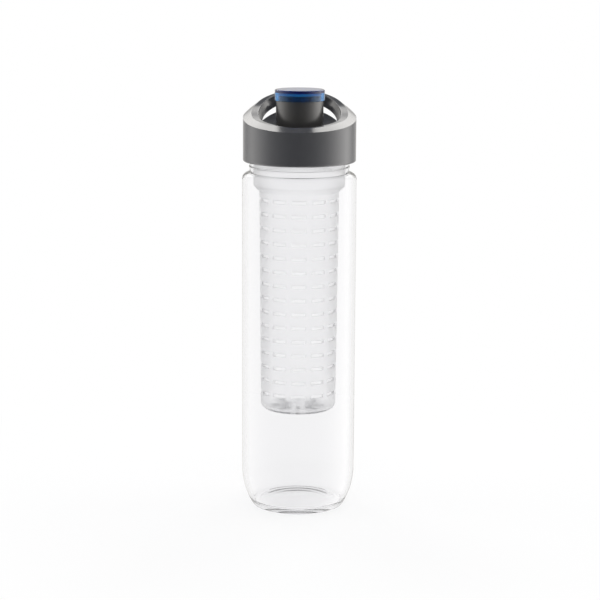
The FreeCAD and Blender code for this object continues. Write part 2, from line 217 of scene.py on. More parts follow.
# %% Make the grey finishes
CLOUD_CELLS, CLOUD_DETAIL = 60, 3.0
GRAIN_CELLS, GRAIN_DEPTH = 2600, 0.05 * mm


def satin_plastic(name, dark, light, smooth, rough, texture, gloss=0.5):
    """Moulded plastic between two close colours and two roughnesses."""
    material, plan = new_material(name)
    cloud = noise(plan, CLOUD_CELLS, CLOUD_DETAIL)
    grain = noise(plan, GRAIN_CELLS)
    show(plan, plan.add("ShaderNodeBsdfPrincipled", sockets={
        "Base Color": plan.mix(cloud, (*dark, 1), (*light, 1)),
        "Roughness": smooth + (rough - smooth) * (0.5 * cloud + 0.5 * grain),
        "Normal": relief(plan, grain, texture, GRAIN_DEPTH),
        "Specular IOR Level": gloss,
    }))
    return material


grey_shell = satin_plastic(
    "grey_shell", dark=(0.064, 0.066, 0.074), light=(0.075, 0.077, 0.085),
    smooth=0.1, rough=0.15, texture=0.06, gloss=0.9,
)
grey_inner = satin_plastic(
    "grey_inner", dark=(0.075, 0.072, 0.075), light=(0.09, 0.087, 0.09),
    smooth=0.3, rough=0.42, texture=0.3,
)
grey_spout = satin_plastic(
    "grey_spout", dark=(0.055, 0.053, 0.052), light=(0.066, 0.064, 0.062),
    smooth=0.2, rough=0.28, texture=0.15, gloss=0.8,
)
print("grey finishes:", grey_shell.name, grey_inner.name, grey_spout.name)

# %% [markdown]
# ## Clear plastic
# The body, the basket and the flip cap are clear plastic. Such plastic bends light about as much as glass
# does, but the full bend draws a hard dark line at each edge of a thin wall. So the body and the basket get
# milder values, which give the soft edges of a well-lit product picture. Cycles stops lamps at a clear
# surface, so a Mix Shader lets lamp rays pass through a Transparent shader, and what is inside stays lit. A
# slow noise drawn out along the bottle gives the wall the slight waves of moulding, and a fine one gives it
# faint scuffs. Thick plastic looks deeper in colour than thin, so a Volume Absorption shader takes light
# away along the path: a trace of grey in the body, and the red in the blue cap.

# %% Make the clear finishes
SCUFF_CELLS, SCUFF_DETAIL = 900, 3.0
WAVE_CELLS, WAVE_DETAIL, WAVE_DEPTH = 45, 1.0, 0.2 * mm


def clear_plastic(name, tint, passed, bend, smooth, rough, wave, stretch, soak=None, density=0.0):
    """See-through plastic: tint, what lamps pass, refraction, roughness, waves, and what depth soaks up."""
    material, plan = new_material(name)
    scuff = noise(plan, SCUFF_CELLS, SCUFF_DETAIL)
    flow = noise(plan, WAVE_CELLS, WAVE_DETAIL, stretch)
    wall = plan.add("ShaderNodeBsdfPrincipled", sockets={
        "Base Color": (*tint, 1),
        "Roughness": smooth + (rough - smooth) * scuff,
        "Transmission Weight": 1.0,
        "IOR": bend,
        "Normal": relief(plan, flow, wave, WAVE_DEPTH),
    })
    lamp_pass = plan.add("ShaderNodeBsdfTransparent", sockets={"Color": (*passed, 1)})
    is_lamp = plan.add("ShaderNodeLightPath").out("Is Shadow Ray")
    ends = {"Surface": plan.add("ShaderNodeMixShader", sockets={0: is_lamp, 1: wall, 2: lamp_pass})}
    if soak:
        depth = {"Color": (*soak, 1), "Density": density}
        ends["Volume"] = plan.add("ShaderNodeVolumeAbsorption", sockets=depth)
    plan.add("ShaderNodeOutputMaterial", sockets=ends)
    return material


clear_body = clear_plastic(
    "clear_body", tint=(0.965, 0.964, 0.968), passed=(0.86, 0.865, 0.875), bend=1.38,
    smooth=0.0, rough=0.04, wave=0.2, stretch=(1, 1, 0.12), soak=(0.5, 0.5, 0.53), density=11.0,
)
clear_basket = clear_plastic(
    "clear_basket", tint=(0.99, 0.99, 0.993), passed=(0.9, 0.91, 0.92), bend=1.18,
    smooth=0.24, rough=0.38, wave=0.12, stretch=(1, 1, 0.4),
)
blue_clear = clear_plastic(
    "blue_clear", tint=(0.4, 0.7, 0.9), passed=(0.06, 0.26, 0.55), bend=1.5,
    smooth=0.03, rough=0.08, wave=0.1, stretch=(1, 1, 1), soak=(0.195, 0.76, 0.9), density=1000.0,
)
print("clear finishes:", clear_body.name, clear_basket.name, blue_clear.name)

# %% [markdown]
# ## Silicone and steel
# The seals are milky silicone: soft-looking, with light that spreads under the surface. The hinge pin is
# drawn steel wire, whose fine lines run along it, so its noise is drawn out along X.

# %% Make the seal and pin finishes
MILK_CELLS, DUST_CELLS, DUST_DEPTH = 220, 1800, 0.05 * mm
LINE_CELLS, LINE_STRETCH, LINE_DEPTH = 4000, (0.02, 1, 1), 0.02 * mm


def milky_silicone(name):
    """Pale soft rubber with a dusty surface."""
    material, plan = new_material(name)
    cloud = noise(plan, MILK_CELLS)
    dust = noise(plan, DUST_CELLS)
    show(plan, plan.add("ShaderNodeBsdfPrincipled", sockets={
        "Base Color": plan.mix(cloud, (0.7, 0.72, 0.74, 1), (0.8, 0.81, 0.82, 1)),
        "Roughness": 0.42 + 0.16 * dust,
        "Subsurface Weight": 0.3,
        "Subsurface Scale": 2 * mm,
        "Normal": relief(plan, dust, strength=0.15, depth=DUST_DEPTH),
    }))
    return material


def drawn_steel(name):
    """Bare wire with the fine lines of its drawing."""
    material, plan = new_material(name)
    lines = noise(plan, LINE_CELLS, stretch=LINE_STRETCH)
    show(plan, plan.add("ShaderNodeBsdfPrincipled", sockets={
        "Base Color": plan.mix(lines, (0.5, 0.5, 0.51, 1), (0.64, 0.64, 0.65, 1)),
        "Metallic": 1.0,
        "Roughness": 0.22 + 0.2 * lines,
        "Normal": relief(plan, lines, strength=0.2, depth=LINE_DEPTH),
    }))
    return material


silicone = milky_silicone("silicone")
steel = drawn_steel("steel")
print("other finishes:", silicone.name, steel.name)

# %% [markdown]
# ## Dressing the solids
# The solids of the lid, the spout, the flip cap and the seals already have their true shape, so they stay
# and only get their finish. The body and the basket are made again below, because clear pieces show every
# facet.

# %% Give the solids their finishes
FINISHES = {
    "lid_shell": grey_shell,
    "inner_cap": grey_inner,
    "spout": grey_spout,
    "flip_cap": blue_clear,
    "lid_gasket": silicone,
    "spout_seal": silicone,
    "cap_seal": silicone,
    "infuser_gasket": silicone,
    "hinge_pin": steel,
}
for node, material in FINISHES.items():
    nodes[node].data.materials.clear()
    nodes[node].data.materials.append(material)
print("dressed:", len(FINISHES), "solids")

# %% [markdown]
# ## The clear body
# A bottle is turned: one section, carried round the axis. The section is a closed line, up the outside and
# down the inside, made of straight runs and arcs with the same sizes as the solid. Many steps round the axis
# keep the clear wall free of visible facets. The neck gets the small bead that a cap's edge runs up to. An
# uneven wall is a prism and shows as a dark band, so the inside of the shoulder follows the outside, and the
# corners of the foot and the neck are eased.

# %% Helpers for a section
EASE_STEPS = 6


def sweep(middle, radius, start, end, steps):
    """Points on an arc of a section, from one angle to another in degrees, counted from straight outwards."""
    angles = [math.radians(start + (end - start) * i / steps) for i in range(steps + 1)]
    return [(middle[0] + radius * math.cos(a), middle[1] + radius * math.sin(a)) for a in angles]


def eased(before, corner, after, reach):
    """Corner of a section, rounded over a reach towards the points before and after it."""
    middle = Vector(corner)
    first = middle + (Vector(before) - middle).normalized() * reach
    last = middle + (Vector(after) - middle).normalized() * reach
    shares = [i / EASE_STEPS for i in range(EASE_STEPS + 1)]
    return [tuple((1 - t) ** 2 * first + 2 * t * (1 - t) * middle + t ** 2 * last) for t in shares]


def angle_at(middle, point):
    """Angle of a point as seen from a middle, in degrees."""
    return math.degrees(math.atan2(point[1] - middle[1], point[0] - middle[0]))


print("section helpers ready")

# %% Sizes of the body, in mm
BODY_R, WALL = 35.0, 2.0
BASE_H, BASE_IN = 24.0, 7.0
SHOULDER_H, SHOULDER_R = 204.8, 4.0
NECK_R, NECK_BORE, LIP = 30.4, 28.4, 228.3
LIP_ROUND, BORE_ROUND = 0.6, 0.4
FOOT_FLAT_IN, FOOT_ROUND = 24.0, 1.5
INNER_FLOOR, PUSH_UP = 3.0, 3.0
BEAD_H, BEAD_R, CREASE_R = 212.6, 0.4, 0.25
INNER_ROUND, BORE_FOOT, RING_IN = 3.0, 208.5, 29.4
FLOOR_EASE, FLOOR_CLEAR, RIM_EASE, NECK_EASE = 2.5, 0.3, 1.4, 0.4
WALL_STEPS, SHOULDER_STEPS, BASE_STEPS, DOME_STEPS = 12, 14, 20, 24
FOOT_STEPS, CREASE_STEPS, BEAD_STEPS, LIP_STEPS = 6, 6, 8, 5

base_turn = (BASE_H ** 2 + BASE_IN ** 2) / (2 * BASE_IN)
base_mid = (BODY_R - base_turn, BASE_H)
print("radius of the drawn-in foot in mm:", round(base_turn, 1))

# %% Draw the outside of the body
def dome(radius, height):
    """Rise of the underside or the floor, from its rim to the axis."""
    turn_radius = (radius ** 2 + PUSH_UP ** 2) / (2 * PUSH_UP)
    middle = height + PUSH_UP - turn_radius
    radii = [radius * (1 - i / DOME_STEPS) for i in range(DOME_STEPS + 1)]
    return [(r, middle + math.sqrt(turn_radius ** 2 - r ** 2)) for r in radii]


def straight_wall(radius, start, end):
    """Points on an upright wall between two heights, without its ends."""
    return [(radius, start + (end - start) * i / WALL_STEPS) for i in range(1, WALL_STEPS)]


foot_mid_r = base_mid[0] + math.sqrt((base_turn - FOOT_ROUND) ** 2 - (BASE_H - FOOT_ROUND) ** 2)
foot_mid = (foot_mid_r, FOOT_ROUND)
foot_end = angle_at(base_mid, foot_mid)
crease_mid = (NECK_R + CREASE_R, SHOULDER_H + SHOULDER_R + CREASE_R)
underside = dome(FOOT_FLAT_IN, 0)

outside = [point for point in reversed(underside) if point[0] < FOOT_FLAT_IN - RIM_EASE]
outside += eased(underside[1], underside[0], (foot_mid_r, 0.0), RIM_EASE)
outside += sweep(foot_mid, FOOT_ROUND, -90, foot_end, FOOT_STEPS)
outside += sweep(base_mid, base_turn, foot_end, 0, BASE_STEPS)[1:]
outside += straight_wall(BODY_R, BASE_H, SHOULDER_H)
outside += sweep((BODY_R - SHOULDER_R, SHOULDER_H), SHOULDER_R, 0, 90, SHOULDER_STEPS)
outside += sweep(crease_mid, CREASE_R, 270, 180, CREASE_STEPS)
outside += sweep((NECK_R, BEAD_H), BEAD_R, -90, 90, BEAD_STEPS)
outside += sweep((NECK_R - LIP_ROUND, LIP - LIP_ROUND), LIP_ROUND, 0, 90, LIP_STEPS)
print("outside:", len(outside), "points")

# %% Draw the inside of the body
inner_turn = base_turn - WALL
floor_r = base_mid[0] + math.sqrt(inner_turn ** 2 - (BASE_H - INNER_FLOOR) ** 2)
inner_r = BODY_R - WALL
inner_shoulder = sweep((inner_r - INNER_ROUND, SHOULDER_H), INNER_ROUND, 90, 0, SHOULDER_STEPS)
bore_foot = (NECK_BORE, BORE_FOOT)
ring_in = (RING_IN, inner_shoulder[0][1])
inner_base = sweep(base_mid, inner_turn, 0, angle_at(base_mid, (floor_r, INNER_FLOOR)), DOME_STEPS)
inner_floor = dome(floor_r, INNER_FLOOR)

inside = sweep((NECK_BORE + BORE_ROUND, LIP - BORE_ROUND), BORE_ROUND, 90, 180, LIP_STEPS)
inside += eased((NECK_BORE, LIP), bore_foot, ring_in, NECK_EASE)
inside += eased(bore_foot, ring_in, inner_shoulder[0], NECK_EASE) + inner_shoulder
inside += straight_wall(inner_r, SHOULDER_H, BASE_H)
inside += [point for point in inner_base if point[1] > INNER_FLOOR + FLOOR_EASE]
inside += eased(inner_base[-3], inner_floor[0], inner_floor[2], FLOOR_EASE)
inside += [point for point in inner_floor if point[0] < floor_r - FLOOR_EASE - FLOOR_CLEAR]
print("inside:", len(inside), "points")

# %% Helpers for finished pieces
ON_AXIS = 1e-6


def mark_sharp(mesh, degrees):
    """Smooth shading with hard edges where faces meet at a sharp angle."""
    work = bmesh.new()
    work.from_mesh(mesh)
    limit = math.radians(degrees)
    for face in work.faces:
        face.smooth = True
    for edge in work.edges:
        edge.smooth = len(edge.link_faces) == 2 and edge.calc_face_angle() < limit
    work.to_mesh(mesh)
    work.free()


def turned_mesh(name, section, steps):
    """Closed section of (radius, height) points in mm, carried round Z."""
    work = bmesh.new()
    angles = [2 * math.pi * i / steps for i in range(steps)]
    around = [(math.cos(a), math.sin(a)) for a in angles]
    rings = []
    for radius, height in section:
        r, z = radius * mm, height * mm
        if radius < ON_AXIS:
            rings.append([work.verts.new((0, 0, z))] * steps)
        else:
            rings.append([work.verts.new((r * x, r * y, z)) for x, y in around])
    for ring, after in zip(rings, rings[1:] + rings[:1]):
        for i in range(steps):
            j = (i + 1) % steps
            corners = list(dict.fromkeys((ring[i], ring[j], after[j], after[i])))
            if len(corners) > 2:
                work.faces.new(corners)
    bmesh.ops.recalc_face_normals(work, faces=work.faces)
    mesh = bpy.data.meshes.new(name)
    work.to_mesh(mesh)
    work.free()
    return mesh


def piece(name, mesh, material, body):
    """A finished piece at the origin that rides on a body."""
    made = bpy.data.objects.new(name, mesh)
    if not mesh.materials:
        mesh.materials.append(material)
    scene.collection.objects.link(made)
    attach(made, body)
    return made


print("piece helpers ready")

# %% Turn the body
BODY_STEPS, BODY_CREASE = 256, 35

body_mesh = turned_mesh("bottle_wall", outside + inside, BODY_STEPS)
mark_sharp(body_mesh, BODY_CREASE)
bottle_wall = piece("bottle_wall", body_mesh, clear_body, "bottle")
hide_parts("bottle_body")
print("body:", len(body_mesh.polygons), "faces")

# %% [markdown]
# ## The slotted basket
# The basket is a thin wall with a hundred and eighty slots in straight rows, so it follows a rule, and
# Geometry Nodes can state that rule. A flat grid is rolled up: each column of the grid gets an angle, and
# each row gets a radius and height from a section. Grid lines fall on the slots' edges, so that deleting the
# faces inside them leaves clean slots. A Solidify modifier then gives the sheet its wall, and a Bevel
# softens the slots' edges as moulding does.

# %% Section of the basket, in mm
COLLAR_R, COLLAR_TOP, COLLAR_MID, COLLAR_LOW = 26.6, 228.9, 215.0, 201.5
# Steps out and up that round the collar's lower edge
COLLAR_CORNER = [(0.0, 0.5), (-0.15, 0.0), (-0.55, -0.45)]
LEDGE_LOW, LEDGE_OUT, LEDGE_UP, LEDGE_DROP = 198.0, 0.3, 0.25, 0.35
TUBE_R, TUBE_END_R = 22.9, 21.7
BASKET_FOOT, BASKET_ROUND, BASKET_ROUND_STEPS = 62.9965, 2.6, 7
FLOOR_RING_SHARES = (0.7, 0.35, 0.0)
SLOT_ROWS, SLOT_COLUMNS, SLOT_SHARE, SLOT_H = 15, 12, 0.72, 2.2
ABOVE_SLOTS, BELOW_SLOTS = 5.1, 10.0
FIRST_SLOT = LEDGE_LOW - ABOVE_SLOTS
SLOT_PITCH = (FIRST_SLOT - BASKET_FOOT - BELOW_SLOTS) / (SLOT_ROWS - 1)


def on_tube(height):
    """Point of the tapered tube's section at a height."""
    return (TUBE_END_R + (TUBE_R - TUBE_END_R) * (height - BASKET_FOOT) / (LEDGE_LOW - BASKET_FOOT), height)


basket = [(COLLAR_R, COLLAR_TOP), (COLLAR_R, COLLAR_MID)]
basket += [(COLLAR_R + out, COLLAR_LOW + up) for out, up in COLLAR_CORNER]
basket += [(TUBE_R + LEDGE_OUT, LEDGE_LOW + LEDGE_UP), on_tube(LEDGE_LOW - LEDGE_DROP)]
for row in range(SLOT_ROWS):
    level = FIRST_SLOT - row * SLOT_PITCH
    basket += [on_tube(level + SLOT_H / 2), on_tube(level - SLOT_H / 2), on_tube(level - SLOT_PITCH / 2)]
basket_round_mid = (TUBE_END_R - BASKET_ROUND, BASKET_FOOT + BASKET_ROUND)
basket += sweep(basket_round_mid, BASKET_ROUND, 0, -90, BASKET_ROUND_STEPS)
basket += [(TUBE_END_R * share, BASKET_FOOT) for share in FLOOR_RING_SHARES]
print("basket's section:", len(basket), "points")

# %% Helpers for Geometry Nodes
def new_tree(name, inputs):
    """A Geometry Nodes tree with named inputs; each input is (name, socket type, default)."""
    tree = bpy.data.node_groups.new(name, "GeometryNodeTree")
    tree.interface.new_socket("Geometry", in_out="INPUT", socket_type="NodeSocketGeometry")
    for label, kind, default in inputs:
        socket = tree.interface.new_socket(label, in_out="INPUT", socket_type=kind)
        if default is not None:
            socket.default_value = default
    tree.interface.new_socket("Geometry", in_out="OUTPUT", socket_type="NodeSocketGeometry")
    plan = Plan(tree)
    return plan, plan.add("NodeGroupInput")


def close_tree(plan, geometry, material):
    """Every tree ends in plain geometry with its material."""
    geometry = plan.add("GeometryNodeRealizeInstances", sockets={"Geometry": geometry})
    geometry = plan.add("GeometryNodeSetMaterial", sockets={"Geometry": geometry, "Material": material})
    plan.add("NodeGroupOutput", sockets={"Geometry": geometry})
    return plan.tree


def baked(name, start, tree, values, modifiers=()):
    """Runs a tree on a starting mesh, then any modifiers, and returns the result as a plain mesh."""
    holder = bpy.data.objects.new(name + "_holder", start)
    scene.collection.objects.link(holder)
    modifier = holder.modifiers.new("nodes", "NODES")
    modifier.node_group = tree
    for item in tree.interface.items_tree:
        if item.in_out == "INPUT" and item.name in values:
            modifier[item.identifier] = values[item.name]
    for kind, settings in modifiers:
        extra = holder.modifiers.new(kind.lower(), kind)
        for key, value in settings.items():
            setattr(extra, key, value)
    evaluated = holder.evaluated_get(bpy.context.evaluated_depsgraph_get())
    mesh = bpy.data.meshes.new_from_object(evaluated)
    mesh.name = name
    bpy.data.objects.remove(holder)
    return mesh


print("tree helpers ready")

# %% [markdown]
# ### The rule of the slots
# The tree counts the grid's points column by column. Each column of slots has one stretch of steps across
# its slot and one across the land beside it, and the two share the column's angle. After the grid is rolled
# up, a face belongs to a slot if its centre is near enough to the middle of a column and of a row.

# %% Geometry Nodes for the rolled and slotted sheet
SLOT_STEPS, LAND_STEPS = 10, 4
COLUMN_STEPS = SLOT_STEPS + LAND_STEPS
JOIN_DISTANCE = 0.002 * mm


def off_middle(turns):
    """How far a count of turns or rows is from its nearest whole number."""
    return abs((turns + 0.5) % 1.0 - 0.5)


def rolled_grid(plan, given):
    """A grid whose columns get an angle, and whose rows get a radius and height from the section."""
    columns, points = given.out("Columns"), given.out("Section Points")
    across = columns * COLUMN_STEPS + 1
    grid = plan.add("GeometryNodeMeshGrid", sockets={"Vertices X": across, "Vertices Y": points})
    index = plan.add("GeometryNodeInputIndex")
    step = plan.math("FLOOR", index / points)
    local = step % COLUMN_STEPS
    share = given.out("Slot Share")
    in_slot = plan.math("MINIMUM", local / SLOT_STEPS, 1.0) * share
    on_land = plan.math("MAXIMUM", (local - SLOT_STEPS) / LAND_STEPS, 0.0) * (1 - share)
    column = plan.math("FLOOR", step / COLUMN_STEPS)
    angle = (column + in_slot + on_land - 0.5 * share) * (2 * math.pi) / columns
    sample = plan.add("GeometryNodeSampleIndex", {"data_type": "FLOAT_VECTOR"}, {
        "Geometry": given.out("Geometry"),
        "Value": plan.add("GeometryNodeInputPosition"),
        "Index": index % points,
    })
    section_point = plan.add("ShaderNodeSeparateXYZ", sockets={0: sample})
    radius = section_point.out("X")
    rolled = plan.add("ShaderNodeCombineXYZ", sockets={
        "X": radius * plan.math("COSINE", angle),
        "Y": radius * plan.math("SINE", angle),
        "Z": section_point.out("Z"),
    })
    return plan.add("GeometryNodeSetPosition", sockets={"Geometry": grid, "Position": rolled})


def in_a_slot(plan, given):
    """One on the faces inside a slot, and zero on the rest."""
    centre = plan.add("ShaderNodeSeparateXYZ", sockets={0: plan.add("GeometryNodeInputPosition")})
    turn = plan.math("ARCTAN2", centre.out("Y"), centre.out("X"))
    turns = turn * given.out("Columns") / (2 * math.pi)
    rows_down = (given.out("First Row") - centre.out("Z")) / given.out("Row Pitch")
    half_slot = given.out("Slot Height") / given.out("Row Pitch") * 0.5
    in_rows = (rows_down > -0.5) * (rows_down < given.out("Rows") - 0.5)
    in_column = off_middle(turns) < 0.5 * given.out("Slot Share")
    return in_column * (off_middle(rows_down) < half_slot) * in_rows


def slotted_sheet():
    """The tree that rolls up a grid and opens its slots."""
    plan, given = new_tree("slotted_sheet", [
        ("Columns", "NodeSocketInt", SLOT_COLUMNS),
        ("Section Points", "NodeSocketInt", len(basket)),
        ("Slot Share", "NodeSocketFloat", SLOT_SHARE),
        ("Slot Height", "NodeSocketFloat", SLOT_H * mm),
        ("Row Pitch", "NodeSocketFloat", SLOT_PITCH * mm),
        ("First Row", "NodeSocketFloat", FIRST_SLOT * mm),
        ("Rows", "NodeSocketInt", SLOT_ROWS),
    ])
    sheet = rolled_grid(plan, given)
    opened = {"Geometry": sheet, "Selection": in_a_slot(plan, given)}
    sheet = plan.add("GeometryNodeDeleteGeometry", {"domain": "FACE"}, opened)
    sheet = plan.add("GeometryNodeMergeByDistance", sockets={"Geometry": sheet, "Distance": JOIN_DISTANCE})
    return close_tree(plan, sheet, clear_basket)


sheet_tree = slotted_sheet()
print("slotted sheet:", len(sheet_tree.nodes), "nodes")

# %% [markdown]
# ### Drains and wall
# Water leaves the basket through eight slots in its floor, which point outwards like spokes. A Boolean cuts
# them with a star of boxes, once Solidify has given the floor its thickness, and before the Bevel, so that
# their edges are softened as well.

# %% Make the basket
DRAINS, DRAIN_W, DRAIN_IN, DRAIN_OUT, DRAIN_CUT_H = 8, 2.2, 7.07, 15.96, 6.0
BASKET_WALL, SLOT_BEVEL, BEVEL_STEPS = 1.5, 0.4, 3
BEVEL_FROM, BASKET_CREASE = 50, 40


def drain_star():
    """Boxes like spokes, which cut the drains."""
    work = bmesh.new()
    box = Matrix.Translation(((DRAIN_IN + DRAIN_OUT) / 2 * mm, 0, BASKET_FOOT * mm))
    box = box @ Matrix.Diagonal(((DRAIN_OUT - DRAIN_IN) * mm, DRAIN_W * mm, DRAIN_CUT_H * mm, 1))
    for drain in range(DRAINS):
        spoke = Matrix.Rotation(2 * math.pi * drain / DRAINS, 4, "Z") @ box
        bmesh.ops.create_cube(work, size=1, matrix=spoke)
    mesh = bpy.data.meshes.new("drain_cutter")
    work.to_mesh(mesh)
    work.free()
    star = bpy.data.objects.new("drain_cutter", mesh)
    scene.collection.objects.link(star)
    return star


cutter = drain_star()
strip = bpy.data.meshes.new("basket_section")
strip_points = [(r * mm, 0, z * mm) for r, z in basket]
strip.from_pydata(strip_points, [(i, i + 1) for i in range(len(basket) - 1)], [])
basket_mesh = baked("infuser_wall", strip, sheet_tree, {"Section Points": len(basket)}, [
    ("SOLIDIFY", {"thickness": BASKET_WALL * mm, "offset": -1.0, "use_even_offset": True}),
    ("BOOLEAN", {"object": cutter, "operation": "DIFFERENCE", "solver": "EXACT"}),
    ("BEVEL", {
        "width": SLOT_BEVEL * mm,
        "segments": BEVEL_STEPS,
        "limit_method": "ANGLE",
        "angle_limit": math.radians(BEVEL_FROM),
    }),
])
bpy.data.objects.remove(cutter)
mark_sharp(basket_mesh, BASKET_CREASE)
infuser_wall = piece("infuser_wall", basket_mesh, clear_basket, "infuser")
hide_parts("infuser_basket")
print("basket:", len(basket_mesh.polygons), "faces")

# %% [markdown]
# ## The threads
# Four screw threads hold the bottle together: neck and inner cap, and collar and socket. A thread is a ridge
# that climbs along a spiral. Geometry Nodes make the spiral and sweep a small rounded ridge along it, thinner
# at both ends, where a moulded thread runs out. One tree makes all four from their radius, height, pitch and
# turns. The node's spiral climbs clockwise as it comes, so it is reversed to give the right-hand threads of
# every common lid.

# %% Geometry Nodes for a thread
LID_SCREW = {"Turns": 1.5, "Pitch": 4.0 * mm, "Ridge": 0.5 * mm}
QUICK_SCREW = {"Turns": 0.6, "Pitch": 10.0 * mm, "Ridge": 0.4 * mm}
SPIRAL_STEPS, RIDGE_SIDES = 96, 10
RUN_OUT_RATE, RUN_OUT_END = 12, 0.15


def thread_tree():
    """The tree that sweeps a ridge along a spiral."""
    plan, given = new_tree("thread", [
        ("Radius", "NodeSocketFloat", NECK_R * mm),
        ("Start Height", "NodeSocketFloat", 0.0),
        ("Turns", "NodeSocketFloat", LID_SCREW["Turns"]),
        ("Pitch", "NodeSocketFloat", LID_SCREW["Pitch"]),
        ("Ridge", "NodeSocketFloat", LID_SCREW["Ridge"]),
        ("Material", "NodeSocketMaterial", None),
    ])
    spiral = plan.add("GeometryNodeCurveSpiral", sockets={
        "Resolution": SPIRAL_STEPS,
        "Rotations": given.out("Turns"),
        "Start Radius": given.out("Radius"),
        "End Radius": given.out("Radius"),
        "Height": given.out("Turns") * given.out("Pitch"),
        "Reverse": True,
    })
    raised = plan.add("ShaderNodeCombineXYZ", sockets={"Z": given.out("Start Height")})
    spiral = plan.add("GeometryNodeSetPosition", sockets={"Geometry": spiral, "Offset": raised})
    spiral = plan.add("GeometryNodeSetCurveNormal", {"mode": "Z_UP"}, {"Curve": spiral})
    along = plan.add("GeometryNodeSplineParameter").out("Factor")
    from_end = plan.math("MINIMUM", along, 1 - along)
    taper = plan.math("MINIMUM", from_end * RUN_OUT_RATE + RUN_OUT_END, 1.0)
    spiral = plan.add("GeometryNodeSetCurveRadius", sockets={"Curve": spiral, "Radius": taper})
    ridge = {"Resolution": RIDGE_SIDES, "Radius": given.out("Ridge")}
    ridge = plan.add("GeometryNodeCurvePrimitiveCircle", sockets=ridge)
    swept = {"Curve": spiral, "Profile Curve": ridge, "Fill Caps": True}
    return close_tree(plan, plan.add("GeometryNodeCurveToMesh", sockets=swept), given.out("Material"))


screw_tree = thread_tree()
print("thread:", len(screw_tree.nodes), "nodes")

# %% Make the four threads
NECK_THREAD_H = 218.6
LID_THREAD_R, LID_THREAD_H = 31.55, 219.2
SOCKET_THREAD_R, SOCKET_THREAD_H = 24.2, 221.2
COLLAR_THREAD_R, COLLAR_THREAD_H = 25.15, 220.4
THREAD_CREASE = 60


def add_thread(name, body, material, radius, start, screw):
    """One thread of a screw, from its radius and the height that it starts at, in mm."""
    empty = bpy.data.meshes.new(name + "_start")
    place = {"Radius": radius * mm, "Start Height": start * mm, "Material": material}
    mesh = baked(name, empty, screw_tree, {**screw, **place})
    mark_sharp(mesh, THREAD_CREASE)
    piece(name, mesh, material, body)
    print(name, len(mesh.polygons), "faces")


add_thread(
    "neck_thread", "bottle", clear_body,
    radius=NECK_R, start=NECK_THREAD_H, screw=LID_SCREW,
)
add_thread(
    "lid_thread", "lid", grey_inner,
    radius=LID_THREAD_R, start=LID_THREAD_H, screw=LID_SCREW,
)
add_thread(
    "socket_thread", "lid", grey_inner,
    radius=SOCKET_THREAD_R, start=SOCKET_THREAD_H, screw=QUICK_SCREW,
)
add_thread(
    "collar_thread", "infuser", clear_basket,
    radius=COLLAR_THREAD_R, start=COLLAR_THREAD_H, screw=QUICK_SCREW,
)

# %% [markdown]
# ## The floor
# The picture has a white ground. So the floor is white where the camera looks at it, straight or through
# clear plastic, and a Light Path node tells those rays from the others. A share of its matte shader stays,
# most of all under the bottle, so that it keeps a soft shadow. The floor is hidden from mirrors, which see a
# studio that is drawn into the world instead.

# %% Lay the floor
FLOOR_REACH, FLOOR_DROP = 6.0, 0.2 * mm
UNDER_BOTTLE = {"From Min": 0.02, "From Max": 0.06, "To Min": 0.78, "To Max": 0.84}
ROUND_BOTTLE = {"From Min": 0.08, "From Max": 0.3, "To Min": 0.0, "To Max": 0.16}


def ramp(plan, value, limits):
    """Smooth step of a value from one level to another."""
    smooth = {"interpolation_type": "SMOOTHSTEP"}
    return plan.add("ShaderNodeMapRange", smooth, {"Value": value, **limits})


def looked_at(path):
    """One for rays of the camera, straight or through clear plastic."""
    return path.plan.math("MAXIMUM", path.out("Is Camera Ray"), path.out("Is Transmission Ray"))


def pale_floor():
    """Matte floor that looks white to the camera and keeps a share of shadow near the bottle."""
    material, plan = new_material("pale_floor")
    matte = plan.add("ShaderNodeBsdfDiffuse", sockets={"Color": (0.85, 0.85, 0.86, 1)})
    white = plan.add("ShaderNodeEmission", sockets={"Color": (1, 1, 1, 1), "Strength": 1.0})
    place = plan.add("ShaderNodeSeparateXYZ", sockets={0: plan.add("ShaderNodeTexCoord").out("Object")})
    far = plan.math("SQRT", place.out("X") * place.out("X") + place.out("Y") * place.out("Y"))
    share = looked_at(plan.add("ShaderNodeLightPath"))
    share = share * (ramp(plan, far, UNDER_BOTTLE) + ramp(plan, far, ROUND_BOTTLE))
    show(plan, plan.add("ShaderNodeMixShader", sockets={0: share, 1: matte, 2: white}))
    return material


floor_mesh = bpy.data.meshes.new("floor")
corners = [(-1, -1), (1, -1), (1, 1), (-1, 1)]
floor_mesh.from_pydata([(FLOOR_REACH * x, FLOOR_REACH * y, 0) for x, y in corners], [], [(0, 1, 2, 3)])
floor_mesh.materials.append(pale_floor())
floor = bpy.data.objects.new("floor", floor_mesh)
floor.location.z = -FLOOR_DROP
floor.visible_glossy = False
scene.collection.objects.link(floor)
print("floor laid:", 2 * FLOOR_REACH, "m wide")

# %% [markdown]
# ## The mirrored studio
# A satin lid shows what stands round it. So the world has three answers: white for the camera, a soft even
# light for matte surfaces, and a drawn studio for mirrors. That studio has a bright panel at each side, which
# fades to the front and leaves the middle of the lid dark, two tall strips behind for the bevelled rim, a
# patch between them, and a pale backdrop. Each is a product of smooth steps on the ray's direction: its
# parts to the east, to the north and upwards, and how far aside it points for each step north. Rays that
# clear plastic bends back to the near side see a dimmer white, which draws the edges of the bottle.

